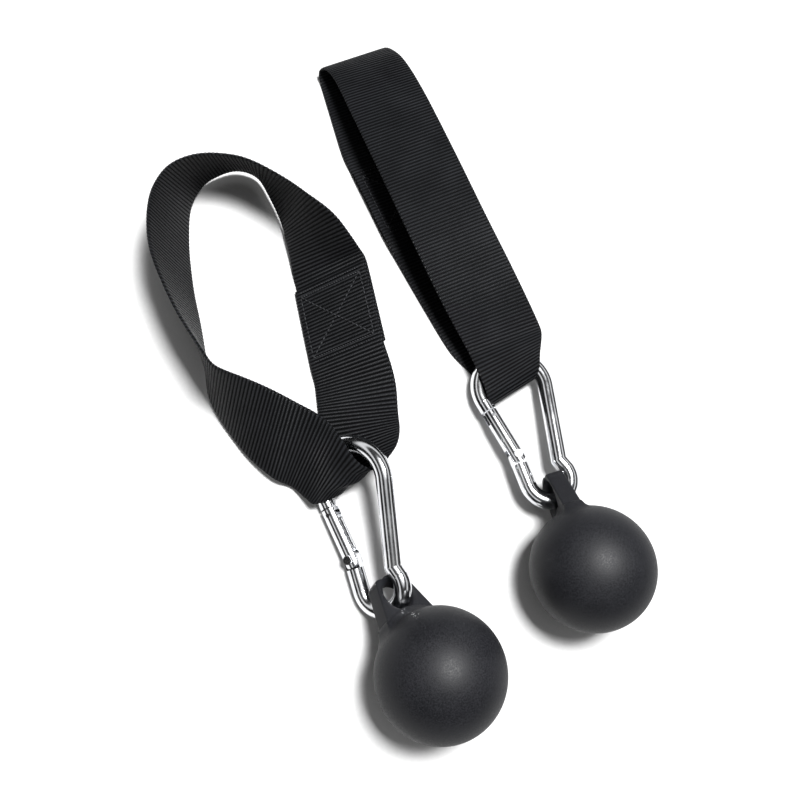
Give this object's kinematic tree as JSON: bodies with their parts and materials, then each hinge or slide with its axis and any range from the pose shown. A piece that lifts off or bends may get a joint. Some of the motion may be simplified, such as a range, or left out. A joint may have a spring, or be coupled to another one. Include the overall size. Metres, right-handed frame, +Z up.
{
  "type": "ball grip pair",
  "caption": "Pair of black ball grips, each on a steel snap hook with a spring gate and a sewn loop of wide ribbed webbing.",
  "frame": {"origin": "on the floor, under the middle of the box round the pair as it lies", "axes": "+Z up; +Y from the balls towards the far ends of the webbing loops; +X towards the right-hand grip"},
  "size_m": [0.2666, 0.4235, 0.067],
  "materials": {
    "left_strap": "ribbed polyester webbing",
    "left_stitching": "bonded polyester thread",
    "left_hook": "bright plated steel",
    "left_gate": "bright plated steel",
    "left_rivet": "bright plated steel",
    "left_latch_pin": "bright plated steel",
    "left_plunger": "plain steel",
    "left_spring": "spring steel",
    "left_core": "fine matt moulding",
    "left_ball": "soft matt moulding",
    "right_strap": "ribbed polyester webbing",
    "right_stitching": "bonded polyester thread",
    "right_hook": "bright plated steel",
    "right_gate": "bright plated steel",
    "right_rivet": "bright plated steel",
    "right_latch_pin": "bright plated steel",
    "right_plunger": "plain steel",
    "right_spring": "spring steel",
    "right_core": "fine matt moulding",
    "right_ball": "soft matt moulding"
  },
  "bodies": {
    "left_loop": {"left_strap": "left_strap", "left_stitching": "left_stitching"},
    "left_hook": {"left_hook": "left_hook"},
    "left_gate": {"left_gate": "left_gate", "left_rivet": "left_rivet", "left_latch_pin": "left_latch_pin", "left_spring": "left_spring"},
    "left_plunger": {"left_plunger": "left_plunger"},
    "left_grip": {"left_core": "left_core", "left_ball": "left_ball"},
    "right_loop": {"right_strap": "right_strap", "right_stitching": "right_stitching"},
    "right_hook": {"right_hook": "right_hook"},
    "right_gate": {"right_gate": "right_gate", "right_rivet": "right_rivet", "right_latch_pin": "right_latch_pin", "right_spring": "right_spring"},
    "right_plunger": {"right_plunger": "right_plunger"},
    "right_grip": {"right_core": "right_core", "right_ball": "right_ball"}
  },
  "joints": [
    {"name": "left_hook_swing", "type": "hinge", "parent": "left_loop", "child": "left_hook", "pos_m": [-0.02554, -0.07773, 0.01867], "axis": [-0.6398, -0.2251, 0.7348], "range_deg": [-8, 8]},
    {"name": "left_gate_open", "type": "hinge", "parent": "left_hook", "child": "left_gate", "pos_m": [-0.02516, -0.11763, 0.00678], "axis": [0.6398, 0.2251, -0.7348], "range_deg": [0, 22], "stiffness_Nm_per_rad": 0.15, "springref_deg": -17.19},
    {"name": "left_plunger_slide", "type": "slide", "parent": "left_gate", "child": "left_plunger", "axis": [-0.3817, 0.923, -0.0496], "range_m": [0, 0.001]},
    {"name": "left_ball_swing", "type": "hinge", "parent": "left_hook", "child": "left_grip", "pos_m": [-0.00314, -0.1423, 0.01839], "axis": [0.4374, 0.6796, 0.589], "range_deg": [-60, 15]},
    {"name": "right_grip_apart", "type": "slide", "parent": "left_loop", "child": "right_loop", "axis": [1, 0, 0], "range_m": [0, 0.15]},
    {"name": "right_hook_swing", "type": "hinge", "parent": "right_loop", "child": "right_hook", "pos_m": [0.07275, -0.02235, 0.01038], "axis": [-0.0707, 0.0822, 0.9941], "range_deg": [-8, 8]},
    {"name": "right_gate_open", "type": "hinge", "parent": "right_hook", "child": "right_gate", "pos_m": [0.07011, -0.06378, 0.01362], "axis": [0.0707, -0.0822, -0.9941], "range_deg": [0, 22], "stiffness_Nm_per_rad": 0.15, "springref_deg": -17.19},
    {"name": "right_plunger_slide", "type": "slide", "parent": "right_gate", "child": "right_plunger", "axis": [-0.4287, 0.8974, -0.1047], "range_m": [0, 0.001]},
    {"name": "right_ball_swing", "type": "hinge", "parent": "right_hook", "child": "right_grip", "pos_m": [0.09186, -0.0897, 0.01731], "axis": [0.9282, 0.3705, 0.0353], "range_deg": [-80, 90]}
  ],
  "couplings": [
    {"joint": "left_plunger_slide", "follows": "left_gate_open", "m_per_rad": 0.0023},
    {"joint": "right_plunger_slide", "follows": "right_gate_open", "m_per_rad": 0.0023}
  ]
}
